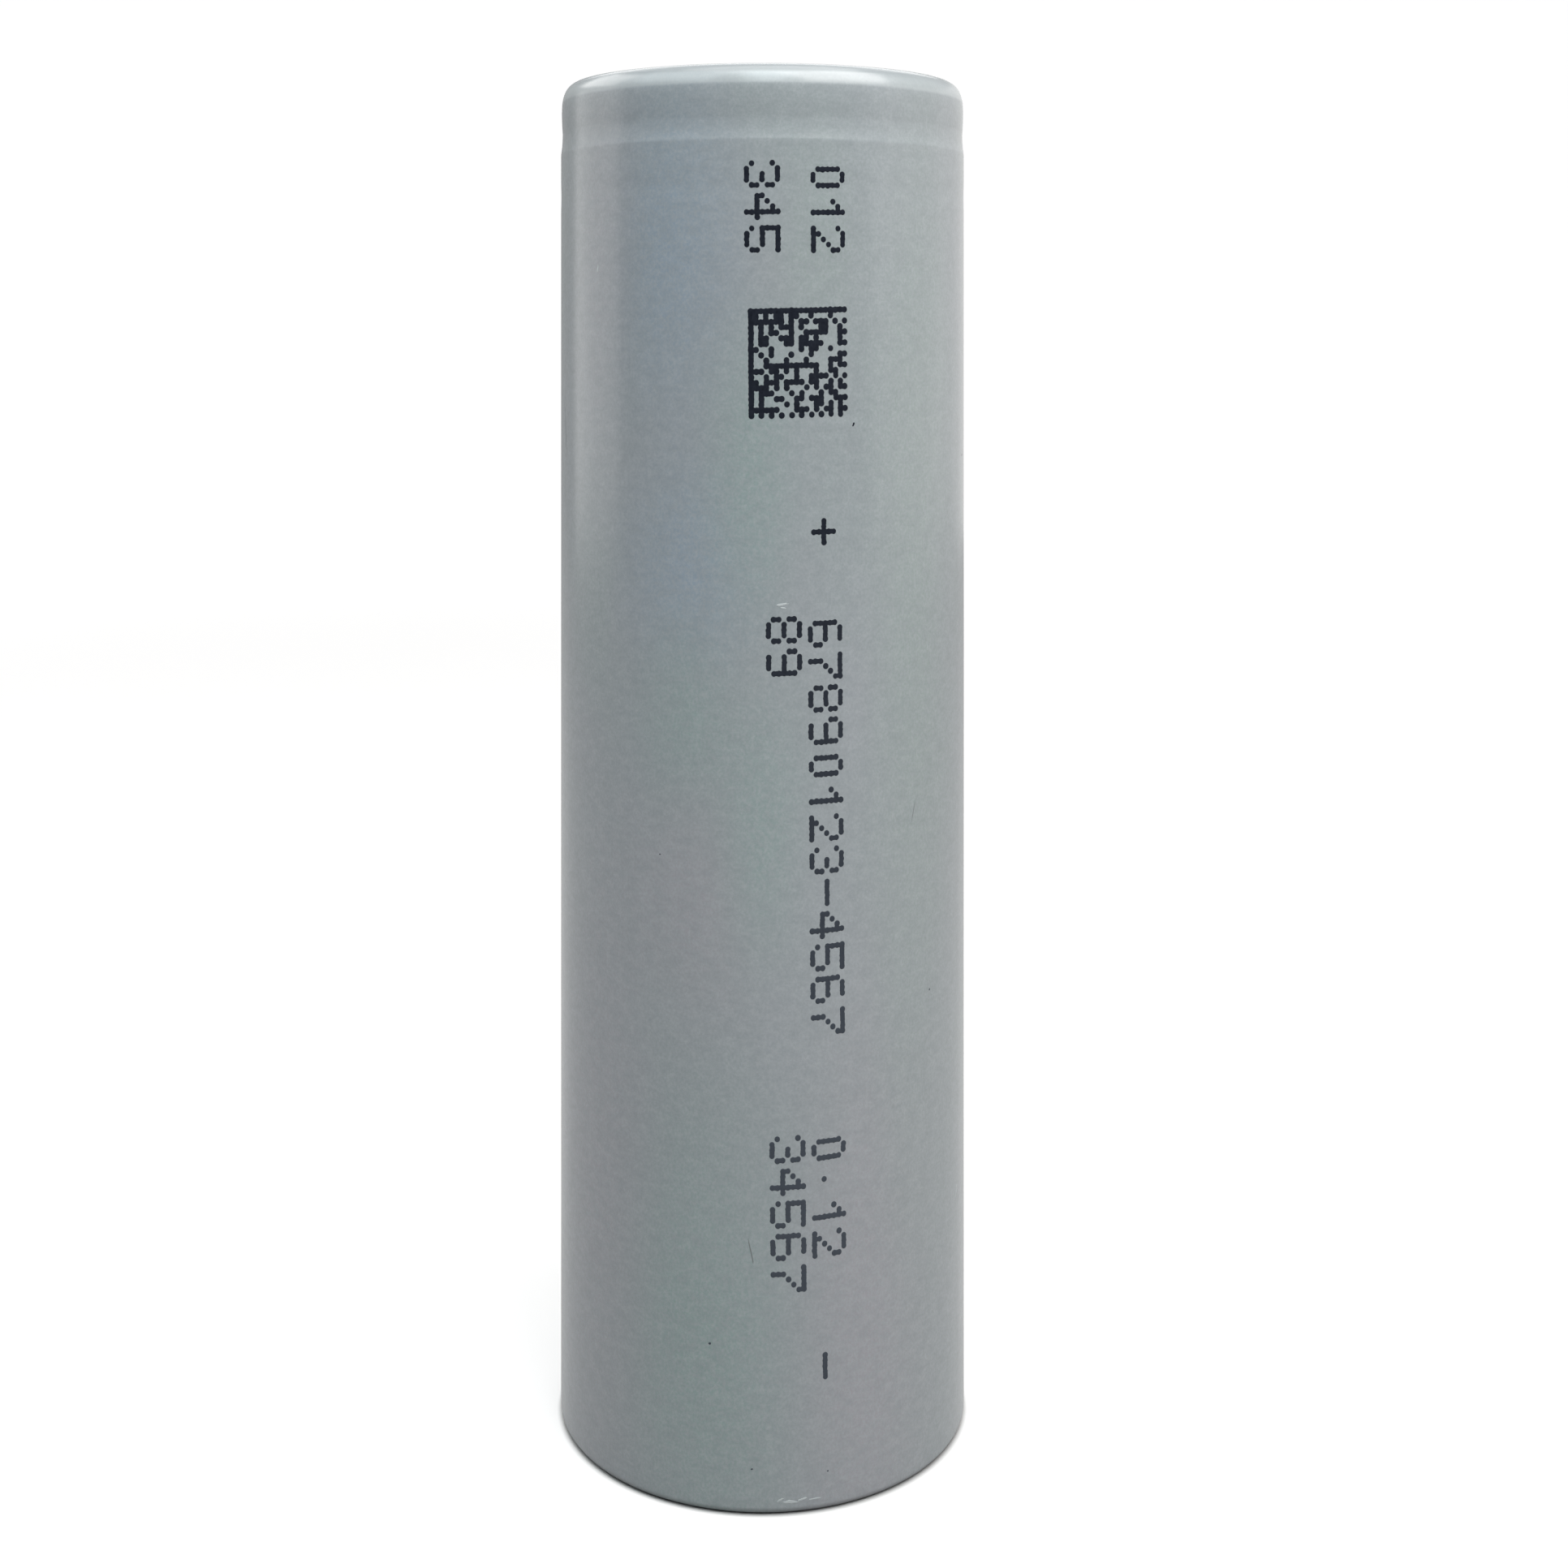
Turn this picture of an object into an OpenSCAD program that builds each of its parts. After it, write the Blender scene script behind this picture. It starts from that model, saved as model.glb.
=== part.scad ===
// Cylindrical lithium-ion cell of the 21700 format, standing on its negative end.
// The origin is the centre of the sleeve's underside, and +Z runs to the positive contact.
// The printed side of the sleeve faces -Y. Lengths are in millimetres.

/* [Envelope] */
// Diameter over the shrink sleeve
cell_d = 21.4; // [21.3:0.05:21.6]
// Height from the sleeve's underside to its top ring
sleeve_h = 70; // [69.5:0.25:71]
// How far the positive contact stands above the sleeve
contact_rise = 0.3; // [0.2:0.05:0.6]

/* [Sleeve and washer] */
// Thickness of the shrink film
film_t = 0.1; // [0.08:0.01:0.12]
// Depth that the film is drawn into the bead groove
film_dip = 0.13; // [0:0.01:0.15]
// Radius of the film's top shoulder
film_shoulder_r = 1; // [0.95:0.05:1.25]
// Radius of the hole inside the film's top fold
top_fold_r = 8; // [7.5:0.1:8.6]
// Radius of the hole inside the film's bottom fold
bottom_fold_r = 8.4; // [8.2:0.1:9]
// Thickness of the insulating washer
washer_t = 0.2; // [0.15:0.01:0.2]
// Radius of the washer's hole
washer_hole_r = 6.2; // [5.5:0.1:7]
// Outside radius of the washer
washer_r = 9.3; // [8.8:0.1:9.3]

/* [Can] */
// Thickness of the can's wall
can_wall = 0.25; // [0.22:0.01:0.27]
// Thickness of the can's floor
can_floor = 0.35; // [0.3:0.05:0.4]
// How much smaller the crimped head is in radius
head_inset = 0.04; // [0.03:0.01:0.12]
// Radius of the can's bottom edge
base_edge_r = 0.4; // [0.35:0.05:0.6]
// Radius of the crimped shoulder
shoulder_r = 0.9; // [0.85:0.05:1]
// Distance from the sleeve's top ring down to the middle of the bead groove
bead_drop = 2.9; // [2.8:0.05:2.9]
// Depth of the bead groove
bead_depth = 1.2; // [1:0.05:1.25]
// Radius of the bottom of the bead groove
bead_r = 0.7; // [0.65:0.01:0.7]
// Radius of the can's mouth
mouth_r = 8.5; // [8.4:0.1:8.8]
// Radius of the safety score in the can's floor
score_r = 7.8; // [7:0.1:7.9]
// Width of the safety score
score_w = 0.25; // [0.2:0.05:0.3]
// Depth of the safety score
score_depth = 0.12; // [0.1:0.01:0.15]

/* [Positive cap and seal] */
// Thickness of the cap's sheet
cap_t = 0.45; // [0.4:0.05:0.45]
// Outside radius of the cap's flange
flange_r = 9.7; // [9.5:0.05:9.7]
// Outside radius of the raised contact
contact_r = 5; // [4.9:0.05:5.3]
// Radius of the contact's outer edge
contact_edge_r = 0.6; // [0.5:0.05:0.7]
// Number of gas windows round the contact
cap_windows = 4; // [3:1:5]
// Width of one gas window
window_w = 2.8; // [2:0.1:3]
// Thickness of the seal's lower lip
seal_lip_t = 0.28; // [0.25:0.01:0.3]
// Inside radius of the seal's lower lip
seal_low_r = 8.8; // [8.5:0.1:9]
// Inside radius of the seal's upper lip
seal_high_r = 8.2; // [8:0.1:8.4]

/* [Vent and current breaker] */
// Thickness of the vent disc
vent_t = 0.3; // [0.25:0.01:0.3]
// Radius of the vent disc's snapping centre
vent_centre_r = 4.3; // [4:0.1:4.35]
// Width of the score that frees the snapping centre
vent_score = 0.05; // [0.03:0.01:0.05]
// Drop of the vent disc's dish
dish_drop = 0.35; // [0.3:0.01:0.35]
// Radius where the dish starts
dish_r = 6; // [5.8:0.1:6.3]
// Radius of the boss that meets the weld plate
boss_r = 1.6; // [1.2:0.1:1.8]
// Height of the boss
boss_h = 0.3; // [0.25:0.01:0.3]
// Radius of the weld plate
weld_plate_r = 7; // [6.8:0.1:7.4]
// Thickness of the weld plate
weld_plate_t = 0.3; // [0.25:0.01:0.3]
// Inside radius of the breaker's insulating ring
breaker_ring_r = 5; // [4.8:0.1:5.3]

/* [Electrode roll] */
// Number of full turns of the cathode
turns = 11; // [8:1:11]
// Radius at which the roll starts
core_r = 2; // [1.95:0.05:2]
// Thickness of the cathode sheet
cathode_t = 0.25; // [0.25:0.01:0.26]
// Thickness of the anode sheet
anode_t = 0.27; // [0.26:0.01:0.27]
// Thickness of each separator
separator_t = 0.05; // [0.05:0.005:0.06]
// Play between neighbouring layers
layer_play = 0.02; // [0.01:0.005:0.02]
// Overall height of the separators
separator_h = 64.6; // [60:0.1:64.6]
// How far the anode stops short of the separator at each end
anode_inset = 0.8; // [0.5:0.1:1]
// How far the cathode stops short of the separator at each end
cathode_inset = 1.4; // [1.1:0.1:1.8]
// Width of the tabs
tab_w = 4; // [3:0.1:4]
// Thickness of the tabs
tab_t = 0.12; // [0.1:0.01:0.12]
// Thickness of the tapes
tape_t = 0.06; // [0.05:0.01:0.06]
// Thickness of the insulating discs
insulator_t = 0.2; // [0.15:0.01:0.2]
// Outside radius of the centre pin
pin_r = 1.3; // [1:0.05:1.3]
// Wall of the centre pin
pin_wall = 0.35; // [0.25:0.05:0.4]
// Width of the slit along the centre pin
pin_slit = 0.5; // [0.3:0.1:0.6]

/* [Hidden] */
$fn = 96;

// Play left between parts that rest on each other
seat = 0.01;
// Play round the soft seal
seal_play = 0.03;
// How far a cutting shape runs past the face it cuts
over = 1;

// Sleeve
sleeve_r = cell_d / 2;
bead_z = sleeve_h - bead_drop;

// Can
can_r = sleeve_r - film_t - seat;
head_r = can_r - head_inset;
can_z = film_t + seat;
floor_z = can_z + can_floor;
washer_z = sleeve_h - film_t - seat - washer_t;
crimp_z = washer_z - seat;
bead_axis_r = can_r - bead_depth + bead_r;
bead_seat_z = bead_z + bead_r + can_wall;
bead_low_z = bead_z - bead_r - can_wall;

// Stack that is clamped between the bead and the crimp
seal_z = bead_seat_z + seal_play;
vent_z = seal_z + seal_lip_t + seat;
cap_z = vent_z + vent_t + seat;
pocket_z = seal_z + seal_lip_t;
pocket_h = 3 * seat + vent_t + cap_t;
contact_z = sleeve_h + contact_rise;
riser_r = contact_r - cap_t;
window_z = cap_z + cap_t + 0.05;
window_h = 0.6;

// Current breaker, hanging from the vent disc
dish_z = vent_z - dish_drop;
weld_plate_z = dish_z - boss_h - seat - weld_plate_t;
breaker_lip_w = 0.3;
gas_hole_r = 0.5;
gas_hole_count = 6;
gas_hole_ring_r = 3;

// Roll
pitch = 2 * separator_t + cathode_t + anode_t + 4 * layer_play;
cathode_s = separator_t + layer_play;
outer_separator_s = cathode_s + cathode_t + layer_play;
anode_s = outer_separator_s + separator_t + layer_play;
foil_t = 0.05;
lower_insulator_z = floor_z + tab_t + 2 * seat;
separator_z = lower_insulator_z + insulator_t + 0.3;
separator_top_z = separator_z + separator_h;
upper_insulator_z = separator_top_z + 0.1;
insulator_r = can_r - can_wall - 0.14;
cathode_z = separator_z + cathode_inset;
cathode_h = separator_h - 2 * cathode_inset;
anode_z = separator_z + anode_inset;
anode_h = separator_h - 2 * anode_inset;

// Tabs: each lies in a bare strip of its sheet, under a tape
cathode_tab_turn = floor(turns / 2);
anode_tab_turn = turns - 1;
cathode_foil_r = core_r + cathode_tab_turn * pitch + cathode_s + foil_t;
anode_foil_r = core_r + anode_tab_turn * pitch + anode_s + foil_t;
cathode_tab_r = cathode_foil_r + seat;
anode_tab_r = anode_foil_r + seat;
bare_w = tab_w + 1.2;
tape_w = tab_w + 1;
slot_w = tab_w + 0.4;
tab_end_y = -1.5;
tab_top_z = weld_plate_z - seat;
tab_low_z = tab_top_z - 0.9;
tab_bottom_z = cathode_z + 6;
anode_tab_top_z = anode_z + anode_h - 6;
tape_rim = 1;
closing_tape_h = 12;
closing_tape_zs = [separator_z + 8, separator_top_z - 20];

// Solid disc of radius r
module disc(r, z, h) {
  translate([0, 0, z]) cylinder(r = r, h = h);
}

// Flat ring between two radii
module ring(r_in, r_out, z, h) {
  difference() {
    disc(r_out, z, h);
    disc(r_in, z - over, h + 2 * over);
  }
}

// Half section from the axis out to radius r, with its two outer corners rounded
module half_section(r, z_low, z_high, low_r, high_r) {
  translate([0, z_low + low_r]) square([r, z_high - z_low - low_r - high_r]);
  if (low_r > 0) {
    translate([0, z_low]) square([r - low_r, low_r]);
    translate([r - low_r, z_low + low_r]) circle(r = low_r);
  }
  if (high_r > 0) {
    translate([0, z_high - high_r]) square([r - high_r, high_r]);
    translate([r - high_r, z_high - high_r]) circle(r = high_r);
  }
}

// Space inside the sleeve's surface moved in by d
module sleeve_section(d) {
  head = head_r + seat + film_t - d;
  body = sleeve_r - d;
  difference() {
    union() {
      half_section(body, d, bead_z, base_edge_r + seat + film_t - d, 0);
      half_section(head, bead_z, sleeve_h - d, 0, film_shoulder_r - d);
    }
    polygon([
      [body + over, bead_z - bead_r], [body, bead_z - bead_r], [body - film_dip, bead_z],
      [head, bead_z + bead_r], [body + over, bead_z + bead_r]
    ]);
  }
}

module shrink_sleeve() {
  color("#8c959a") rotate_extrude() difference() {
    sleeve_section(0);
    sleeve_section(film_t);
    translate([0, -over]) square([bottom_fold_r, over + 2 * film_t]);
    translate([0, sleeve_h - 2 * film_t]) square([top_fold_r, over + 2 * film_t]);
  }
}

// Space inside the can's surface moved in by d, standing on height z
module can_section(d, z) {
  difference() {
    union() {
      half_section(can_r - d, z, bead_z, base_edge_r - d, 0);
      half_section(head_r - d, bead_z, crimp_z - d, 0, shoulder_r - d);
    }
    translate([bead_axis_r, bead_z]) circle(r = bead_r + d);
    translate([bead_axis_r, bead_z - bead_r - d]) square([can_r, 2 * (bead_r + d)]);
  }
}

module steel_can() {
  color("#b9bbb8") rotate_extrude() difference() {
    can_section(0, can_z);
    can_section(can_wall, floor_z);
    translate([0, crimp_z - 2 * can_wall]) square([mouth_r, over]);
    translate([score_r, can_z - over]) square([score_w, over + score_depth]);
  }
}

module top_washer() {
  color("#ecece4") ring(washer_hole_r, washer_r, washer_z, washer_t);
}

module positive_cap() {
  color("#c9cac6") difference() {
    rotate_extrude() difference() {
      union() {
        half_section(flange_r, cap_z, cap_z + cap_t, 0, 0);
        half_section(contact_r, cap_z, contact_z, 0, contact_edge_r);
      }
      translate([0, -over]) half_section(riser_r, cap_z, contact_z - cap_t + over, 0, contact_edge_r - 0.35);
    }
    for (i = [0 : cap_windows - 1])
      rotate([0, 0, 45 + i * 360 / cap_windows])
        translate([riser_r - over, -window_w / 2, window_z])
          cube([cap_t + 2 * over, window_w, window_h]);
  }
}

module crimp_gasket() {
  inset = can_wall + seal_play;
  color("#dfe6ea") rotate_extrude() difference() {
    half_section(head_r - inset, seal_z, crimp_z - inset, 0, shoulder_r - inset);
    translate([0, seal_z - over]) square([seal_low_r, over + seal_lip_t]);
    translate([0, pocket_z]) square([flange_r + seat, pocket_h]);
    translate([0, pocket_z + pocket_h]) square([seal_high_r, over]);
  }
}

module vent_disc_rim() {
  color("#cfd2d4") {
    ring(dish_r, flange_r, vent_z, vent_t);
    ring(dish_r, dish_r + vent_t, dish_z, dish_drop + vent_t);
    ring(vent_centre_r + vent_score, dish_r + vent_t, dish_z, vent_t);
  }
}

module vent_disc_centre() {
  color("#d9dbdc") {
    disc(vent_centre_r, dish_z, vent_t);
    disc(boss_r, dish_z - boss_h, boss_h + vent_t);
  }
}

module cid_insulator_ring() {
  ring_t = boss_h - seat;
  color("#e6e2d2") {
    ring(breaker_ring_r, weld_plate_r + seat + breaker_lip_w, dish_z - seat - ring_t, ring_t);
    ring(
      weld_plate_r + seat, weld_plate_r + seat + breaker_lip_w,
      weld_plate_z, dish_z - seat - weld_plate_z
    );
  }
}

module cid_weld_plate() {
  color("#c6c9cb") difference() {
    disc(weld_plate_r, weld_plate_z, weld_plate_t);
    for (i = [0 : gas_hole_count - 1])
      rotate([0, 0, i * 360 / gas_hole_count])
        translate([gas_hole_ring_r, 0, 0])
          disc(gas_hole_r, weld_plate_z - over, weld_plate_t + 2 * over);
  }
}

// Curved strip of width w on the +Y side of the roll, from radius r outwards
module roll_strip(r, t, w, z, h) {
  translate([-pitch / 2, 0, z]) linear_extrude(h) intersection() {
    difference() {
      circle(r = r + t);
      circle(r = r);
    }
    translate([-w / 2, 0]) square([w, r + t + over]);
  }
}

module upper_insulator() {
  color("#d8cfa8") difference() {
    disc(insulator_r, upper_insulator_z, insulator_t);
    disc(pin_r, upper_insulator_z - over, insulator_t + 2 * over);
    roll_strip(cathode_tab_r - 0.15, tab_t + 0.3, slot_w, upper_insulator_z - over, insulator_t + 2 * over);
    for (a = [200, 270, 340])
      rotate([0, 0, a]) translate([6, 0, 0])
        disc(1.2, upper_insulator_z - over, insulator_t + 2 * over);
  }
}

module lower_insulator() {
  color("#d8cfa8") difference() {
    disc(insulator_r, lower_insulator_z, insulator_t);
    disc(pin_r + 0.3, lower_insulator_z - over, insulator_t + 2 * over);
    roll_strip(anode_tab_r - 0.15, 2, slot_w, lower_insulator_z - over, insulator_t + 2 * over);
  }
}

// Flat leg of a tab, cut to the round of the roll strip of radius r
module tab_leg(r, y, z) {
  translate([-pitch / 2, 0, 0]) intersection() {
    disc(r + tab_t, z, tab_t);
    translate([-tab_w / 2, y, z - over]) cube([tab_w, r + tab_t + over - y, tab_t + 2 * over]);
  }
}

module cathode_tab() {
  bend_r = (tab_top_z - tab_low_z) / 2;
  color("#d2d4d6") {
    roll_strip(cathode_tab_r, tab_t, tab_w, tab_bottom_z, tab_low_z + tab_t - tab_bottom_z);
    tab_leg(cathode_tab_r, tab_end_y, tab_low_z);
    translate([-(pitch + tab_w) / 2, tab_end_y, tab_low_z + bend_r])
      rotate([90, 0, 90]) linear_extrude(tab_w) intersection() {
        difference() {
          circle(r = bend_r);
          circle(r = bend_r - tab_t);
        }
        translate([-bend_r - over, -bend_r - over]) square([bend_r + over, 2 * (bend_r + over)]);
      }
    translate([-(pitch + tab_w) / 2, tab_end_y, tab_top_z - tab_t]) cube([tab_w, 5, tab_t]);
  }
}

module anode_tab() {
  color("#b7b2a4") {
    roll_strip(anode_tab_r, tab_t, tab_w, floor_z + seat, anode_tab_top_z - floor_z - seat);
    tab_leg(anode_tab_r, tab_end_y, floor_z + seat);
  }
}

// Ring of thickness t outside radius r, kept where y is positive
module half_ring(r, t) {
  intersection() {
    difference() {
      circle(r = r + t);
      circle(r = r);
    }
    translate([-r - t - over, 0]) square([2 * (r + t + over), r + t + over]);
  }
}

// Wound sheet: half turns about two centres that are half a pitch apart.
// s is the sheet's place in the stack, outwards from the turn's start radius.
module wound_sheet(first, last, s, t, z, h) {
  translate([0, 0, z]) linear_extrude(h)
    for (k = [first : last]) {
      translate([-pitch / 2, 0]) half_ring(core_r + k * pitch + s, t);
      mirror([0, 1]) half_ring(core_r + (k + 0.5) * pitch + s, t);
    }
}

module cathode_sheet() {
  color("#3b3d42") difference() {
    wound_sheet(0, turns - 1, cathode_s, cathode_t, cathode_z, cathode_h);
    roll_strip(cathode_foil_r, cathode_t - foil_t + layer_play / 2, bare_w, tab_bottom_z - 2, cathode_h);
  }
}

module anode_sheet() {
  color("#4a3a30") difference() {
    wound_sheet(-1, turns - 1, anode_s, anode_t, anode_z, anode_h);
    roll_strip(
      anode_foil_r, anode_t - foil_t + layer_play / 2, bare_w,
      anode_z - over, anode_tab_top_z + 2 + over - anode_z
    );
  }
}

module separator_inner() {
  color("#f2f2ee") wound_sheet(0, turns, 0, separator_t, separator_z, separator_h);
}

module separator_outer() {
  color("#f2f2ee") wound_sheet(0, turns - 1, outer_separator_s, separator_t, separator_z, separator_h);
}

module centre_pin() {
  color("#9fa2a4") difference() {
    ring(pin_r - pin_wall, pin_r, separator_z + 1, separator_h - 2);
    translate([-pin_slit / 2, 0, 0]) cube([pin_slit, 2 * pin_r, 2 * separator_h]);
  }
}

module roll_closing_tape() {
  color("#7fae86") for (z = closing_tape_zs)
    translate([0, 0, z]) linear_extrude(closing_tape_h)
      mirror([0, 1]) half_ring(core_r + (turns + 0.5) * pitch + separator_t + seat, tape_t);
}

module cathode_tab_tape() {
  color("#c98a3a")
    roll_strip(
      cathode_tab_r + tab_t + seat, tape_t, tape_w,
      tab_bottom_z - tape_rim, cathode_z + cathode_h - tab_bottom_z + tape_rim
    );
}

module anode_tab_tape() {
  color("#c98a3a")
    roll_strip(
      anode_tab_r + tab_t + seat, tape_t, tape_w,
      anode_z, anode_tab_top_z + tape_rim - anode_z
    );
}

shrink_sleeve();
steel_can();
top_washer();
positive_cap();
crimp_gasket();
vent_disc_rim();
vent_disc_centre();
cid_insulator_ring();
cid_weld_plate();
upper_insulator();
lower_insulator();
cathode_tab();
anode_tab();
cathode_sheet();
anode_sheet();
separator_inner();
separator_outer();
centre_pin();
roll_closing_tape();
cathode_tab_tape();
anode_tab_tape();
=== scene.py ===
"""Looks of a sleeved cylindrical cell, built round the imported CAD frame.

Lengths in the tables are millimetres.
"""

import math
import random

import bpy
import numpy as np
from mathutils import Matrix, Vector


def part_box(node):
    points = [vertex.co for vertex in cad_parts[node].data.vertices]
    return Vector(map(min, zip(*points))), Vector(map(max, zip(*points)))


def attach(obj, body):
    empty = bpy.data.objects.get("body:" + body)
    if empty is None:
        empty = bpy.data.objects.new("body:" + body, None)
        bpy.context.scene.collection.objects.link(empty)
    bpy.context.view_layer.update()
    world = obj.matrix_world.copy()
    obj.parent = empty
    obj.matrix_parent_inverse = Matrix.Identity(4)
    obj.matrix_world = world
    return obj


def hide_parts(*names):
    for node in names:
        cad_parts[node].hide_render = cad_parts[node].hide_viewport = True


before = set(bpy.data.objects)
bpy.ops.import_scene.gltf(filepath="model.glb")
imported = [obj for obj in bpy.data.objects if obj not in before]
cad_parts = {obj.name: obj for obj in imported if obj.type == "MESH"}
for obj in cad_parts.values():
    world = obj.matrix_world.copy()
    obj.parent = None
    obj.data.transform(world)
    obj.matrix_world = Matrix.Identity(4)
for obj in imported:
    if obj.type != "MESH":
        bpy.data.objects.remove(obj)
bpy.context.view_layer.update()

MM = 0.001
BODY = "cell"

# ---------------------------------------------------------------- sizes read from the frame
_, sleeve_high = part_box("shrink_sleeve")
can_low, can_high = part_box("steel_can")
cap_low, cap_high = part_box("positive_cap")
washer_low, washer_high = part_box("top_washer")

SLEEVE_R = sleeve_high.x / MM
SLEEVE_TOP = sleeve_high.z / MM
CAN_R = can_high.x / MM
CAN_LOW = can_low.z / MM
CRIMP_TOP = can_high.z / MM
CAP_LOW = cap_low.z / MM
CAP_TOP = cap_high.z / MM
FLANGE_R = cap_high.x / MM
WASHER_R = washer_high.x / MM
WASHER_LOW = washer_low.z / MM
WASHER_TOP = washer_high.z / MM

# ---------------------------------------------------------------- shapes in millimetres
FILM = 0.1
HEAD_INSET = 0.04
FOLD_TOP_R = 8.0
FOLD_BASE_R = 8.4
SHOULDER_WIDE, SHOULDER_TALL = 1.0, 1.5
BASE_EDGE_R = 0.4
GROOVE_LOW, GROOVE_Z, GROOVE_HIGH = SLEEVE_TOP - 3.75, SLEEVE_TOP - 2.66, SLEEVE_TOP - 1.5
GROOVE_DIP = 0.085
FAINT_RING_Z = SLEEVE_TOP - 6.0
FAINT_RING_HALF = 0.9
FAINT_RING_DIP = 0.012
# height where a lighter band, a painted highlight on the shoulder, starts, and the height over which it
# fades in
PAINTED_HIGHLIGHT_Z, PAINTED_HIGHLIGHT_FADE = SLEEVE_TOP - 1.12, 0.18
# heights over which a painted shade darkens the top of the shoulder, dimming its highlight
PAINTED_TOP_SHADE = (SLEEVE_TOP - 0.75, SLEEVE_TOP - 0.03)
PROFILE_STEP = 0.01
# half width and spread, in profile steps, of the bell that rounds the film's bends
BLUR_STEPS, BLUR_SPREAD = 15, 4.5
FILM_SEGMENTS = 288
METAL_SEGMENTS = 192


def smoothstep(low, high, x):
    t = np.clip((np.asarray(x, float) - low) / (high - low), 0, 1)
    return t * t * (3 - 2 * t)


def dip(z, middle, half):
    """1 at the middle of a groove, falling smoothly to 0 at its edges."""
    t = np.clip(np.abs(np.asarray(z, float) - middle) / half, 0, 1)
    return 0.5 * (1 + np.cos(math.pi * t))


def film_profile():
    """Heights and outer radii of the film's wall, with the bead groove drawn in below the head."""
    z = np.arange(0, SLEEVE_TOP + 0.5, PROFILE_STEP)
    lower = np.clip((z - GROOVE_LOW) / (GROOVE_Z - GROOVE_LOW), 0, 1)
    upper = np.clip((z - GROOVE_Z) / (GROOVE_HIGH - GROOVE_Z), 0, 1)
    r = SLEEVE_R - GROOVE_DIP * (1 - (1 - lower) ** 2.2)
    r = r + (GROOVE_DIP - HEAD_INSET) * (1 - (1 - upper) ** 2)
    r = r - FAINT_RING_DIP * dip(z, FAINT_RING_Z, FAINT_RING_HALF)
    bell = np.exp(-0.5 * (np.arange(-BLUR_STEPS, BLUR_STEPS + 1) / BLUR_SPREAD) ** 2)
    return z, np.convolve(np.pad(r, BLUR_STEPS, "edge"), bell / bell.sum(), "valid")


PROFILE = film_profile()


def film_radius(z):
    """Outer radius of the film on the straight part of the cell."""
    return np.interp(z, *PROFILE)


def arc(centre, radius, start, end, steps):
    """Points on an arc in the (r, z) plane, angles in degrees from +r towards +z."""
    turns = np.radians(np.linspace(start, end, steps))
    return [(centre[0] + radius * math.cos(t), centre[1] + radius * math.sin(t)) for t in turns]


def line(start, end, steps):
    """Points on a straight line, both ends left out."""
    return [
        (start[0] + (end[0] - start[0]) * k / steps, start[1] + (end[1] - start[1]) * k / steps)
        for k in range(1, steps)
    ]


def smooth_noise(seed, waves, count):
    """A periodic random function of azimuth, about -1 to 1."""
    rng = random.Random(seed)
    terms = [
        (rng.randint(*waves), rng.uniform(0, 2 * math.pi), rng.uniform(0.4, 1)) for _ in range(count)
    ]
    scale = 1.6 / sum(a for _, _, a in terms)
    return lambda phi: scale * sum(a * np.sin(n * phi + p) for n, p, a in terms)


def link(obj):
    bpy.context.scene.collection.objects.link(obj)
    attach(obj, BODY)
    return obj


def mesh_object(name, verts, faces, material):
    mesh = bpy.data.meshes.new(name)
    mesh.from_pydata([Vector(v) * MM for v in verts], [], faces)
    mesh.materials.append(material)
    mesh.polygons.foreach_set("use_smooth", [True] * len(mesh.polygons))
    mesh.update()
    return link(bpy.data.objects.new(name, mesh))


def revolve(name, loop, material, warp=None, segments=FILM_SEGMENTS):
    """Turns a closed loop of (r, z) points about Z. warp(phi, r, z) may return new r and z."""
    section = np.array(loop, float)
    count = len(section)
    verts, faces = [], []
    for k in range(segments):
        phi = 2 * math.pi * k / segments
        r, z = section[:, 0], section[:, 1]
        if warp:
            r, z = warp(phi, r, z)
        verts += list(zip(r * math.sin(phi), -r * math.cos(phi), z))
    for k in range(segments):
        a, b = k * count, (k + 1) % segments * count
        for i in range(count):
            j = (i + 1) % count
            faces.append((a + i, b + i, b + j, a + j))
    return mesh_object(name, verts, faces, material)


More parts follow.
